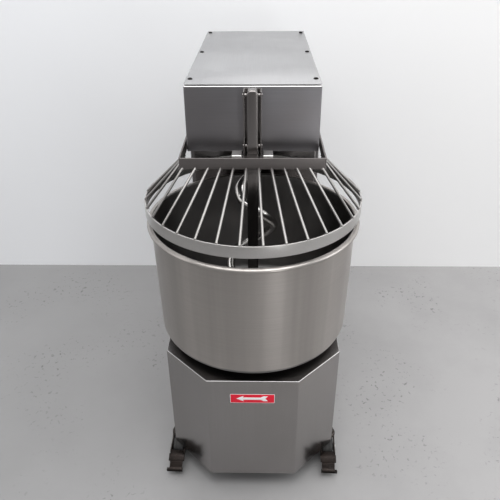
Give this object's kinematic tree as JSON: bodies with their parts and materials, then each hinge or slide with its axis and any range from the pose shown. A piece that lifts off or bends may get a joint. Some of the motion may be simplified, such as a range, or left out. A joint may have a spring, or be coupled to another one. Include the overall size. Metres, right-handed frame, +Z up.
{
  "type": "spiral dough mixer",
  "caption": "Floor-standing spiral dough mixer: turning steel bowl, overhead head with spiral hook and breaker bar, hinged wire guard, cabinet base on casters.",
  "frame": {"origin": "on the floor, under the middle of the machine's bounding box", "axes": "+Z up, the front (bowl, label, brake pedals) faces -Y, the controls face +X"},
  "size_m": [0.5, 0.9, 0.995],
  "materials": {
    "casing_steel": "brushed stainless sheet, directional grain",
    "cover_steel": "brushed stainless sheet with wiped smears",
    "bowl_steel": "spun stainless, fine circular grain",
    "bar_steel": "ground stainless bar",
    "hook_steel": "ground and polished stainless bar",
    "guard_steel": "ground stainless flat bar and rod",
    "frame_paint": "satin grey paint",
    "machine_iron": "machined cast iron",
    "shaft_steel": "turned steel",
    "motor_paint": "satin blue-grey paint",
    "belt_rubber": "ribbed rubber",
    "box_plastic": "grained plastic",
    "gland_plastic": "moulded black plastic",
    "dark_screw": "blackened steel",
    "bolt_steel": "plated steel",
    "label_red": "printed gloss film",
    "panel_plastic": "satin black panel",
    "start_green": "moulded green plastic",
    "stop_red": "moulded red plastic",
    "caster_zinc": "dull, stained zinc plate",
    "pedal_metal": "worn, stained pressed steel",
    "wheel_plastic": "moulded black nylon",
    "wheel_tyre": "black rubber"
  },
  "bodies": {
    "root": {"base_shell": "casing_steel", "base_deck": "casing_steel", "chassis": "frame_paint", "column_shell": "casing_steel", "rear_cover": "casing_steel", "head_shell": "casing_steel", "head_bottom_plate": "frame_paint", "top_cover": "cover_steel", "cover_screws": "dark_screw", "breaker_channel": "bar_steel", "breaker_bar": "bar_steel", "breaker_bar_pins": "bar_steel", "direction_label": "label_red", "bowl_bearing_housing": "machine_iron", "hook_bearing_housing": "machine_iron", "shaft_bearings": "shaft_steel", "bowl_drive_belt": "belt_rubber", "motor_belt": "belt_rubber", "hook_drive_belt": "belt_rubber", "motor": "motor_paint", "electrical_box": "box_plastic", "cable_gland": "gland_plastic", "guard_switch": "box_plastic", "guard_pivot_pins": "guard_steel", "control_panel": "panel_plastic", "caster_plates": "caster_zinc", "rear_forks": "caster_zinc", "rear_axles": "bolt_steel"},
    "bowl": {"bowl": "bowl_steel", "bowl_shaft": "shaft_steel", "bowl_bolts": "bolt_steel", "bowl_pulley": "machine_iron"},
    "hook": {"spiral_hook": "hook_steel", "hook_shaft": "hook_steel", "hook_pulley": "machine_iron"},
    "main_shaft": {"main_shaft": "shaft_steel", "main_pulleys": "machine_iron"},
    "motor_rotor": {"motor_pulley": "machine_iron"},
    "guard": {"guard_frame": "guard_steel", "guard_ring": "guard_steel", "guard_rods": "guard_steel", "guard_lugs": "guard_steel"},
    "start_button": {"start_button": "start_green"},
    "stop_button": {"stop_button": "stop_red"},
    "emergency_stop": {"emergency_stop": "stop_red"},
    "timer_knob": {"timer_knob": "panel_plastic"},
    "front_swivel_left": {"front_fork_left": "caster_zinc", "front_axle_left": "bolt_steel"},
    "front_wheel_left": {"front_left_wheel": "wheel_plastic", "front_left_tyre": "wheel_tyre"},
    "brake_pedal_left": {"brake_pedal_left": "pedal_metal"},
    "front_swivel_right": {"front_fork_right": "caster_zinc", "front_axle_right": "bolt_steel"},
    "front_wheel_right": {"front_right_wheel": "wheel_plastic", "front_right_tyre": "wheel_tyre"},
    "brake_pedal_right": {"brake_pedal_right": "pedal_metal"},
    "rear_wheel_left": {"rear_left_wheel": "wheel_plastic", "rear_left_tyre": "wheel_tyre"},
    "rear_wheel_right": {"rear_right_wheel": "wheel_plastic", "rear_right_tyre": "wheel_tyre"}
  },
  "joints": [
    {"name": "bowl_spin", "type": "hinge", "parent": "root", "child": "bowl", "pos_m": [0, -0.2, 0.385], "axis": [0, 0, 1], "continuous": true},
    {"name": "hook_spin", "type": "hinge", "parent": "root", "child": "hook", "pos_m": [0, -0.083, 0.8], "axis": [0, 0, 1], "continuous": true},
    {"name": "main_shaft_spin", "type": "hinge", "parent": "root", "child": "main_shaft", "pos_m": [0, 0.2, 0.6], "axis": [0, 0, 1], "continuous": true},
    {"name": "motor_spin", "type": "hinge", "parent": "root", "child": "motor_rotor", "pos_m": [0, 0.35, 0.4], "axis": [0, 0, 1], "continuous": true},
    {"name": "guard_tip", "type": "hinge", "parent": "root", "child": "guard", "pos_m": [0, 0.055, 0.863], "axis": [-1, 0, 0], "range_deg": [0, 45]},
    {"name": "start_press", "type": "slide", "parent": "root", "child": "start_button", "axis": [-1, 0, 0], "range_m": [0, 0.003], "stiffness_N_per_m": 400},
    {"name": "stop_press", "type": "slide", "parent": "root", "child": "stop_button", "axis": [-1, 0, 0], "range_m": [0, 0.003], "stiffness_N_per_m": 400},
    {"name": "emergency_press", "type": "slide", "parent": "root", "child": "emergency_stop", "axis": [-1, 0, 0], "range_m": [0, 0.004]},
    {"name": "timer_turn", "type": "hinge", "parent": "root", "child": "timer_knob", "pos_m": [0.15, 0.265, 0.925], "axis": [-1, 0, 0], "range_deg": [0, 300]},
    {"name": "front_swivel_turn_left", "type": "hinge", "parent": "root", "child": "front_swivel_left", "pos_m": [-0.205, -0.297, 0.055], "axis": [0, 0, 1], "continuous": true},
    {"name": "front_wheel_roll_left", "type": "hinge", "parent": "front_swivel_left", "child": "front_wheel_left", "pos_m": [-0.20584, -0.32099, 0.025], "axis": [-0.9994, 0.0349, 0], "continuous": true},
    {"name": "brake_tip_left", "type": "hinge", "parent": "front_swivel_left", "child": "brake_pedal_left", "pos_m": [-0.20692, -0.35197, 0.035], "axis": [-0.9994, 0.0349, 0], "range_deg": [0, 18]},
    {"name": "front_swivel_turn_right", "type": "hinge", "parent": "root", "child": "front_swivel_right", "pos_m": [0.205, -0.297, 0.055], "axis": [0, 0, 1], "continuous": true},
    {"name": "front_wheel_roll_right", "type": "hinge", "parent": "front_swivel_right", "child": "front_wheel_right", "pos_m": [0.20416, -0.32099, 0.025], "axis": [-0.9994, 0.0349, 0], "continuous": true},
    {"name": "brake_tip_right", "type": "hinge", "parent": "front_swivel_right", "child": "brake_pedal_right", "pos_m": [0.20308, -0.35197, 0.035], "axis": [-0.9994, 0.0349, 0], "range_deg": [0, 18]},
    {"name": "rear_wheel_roll_left", "type": "hinge", "parent": "root", "child": "rear_wheel_left", "pos_m": [-0.145, 0.385, 0.025], "axis": [-1, 0, 0], "continuous": true},
    {"name": "rear_wheel_roll_right", "type": "hinge", "parent": "root", "child": "rear_wheel_right", "pos_m": [0.145, 0.385, 0.025], "axis": [-1, 0, 0], "continuous": true}
  ],
  "couplings": [
    {"joint": "main_shaft_spin", "follows": "bowl_spin", "ratio": 8},
    {"joint": "hook_spin", "follows": "bowl_spin", "ratio": 6.6667},
    {"joint": "motor_spin", "follows": "bowl_spin", "ratio": 26.667}
  ]
}
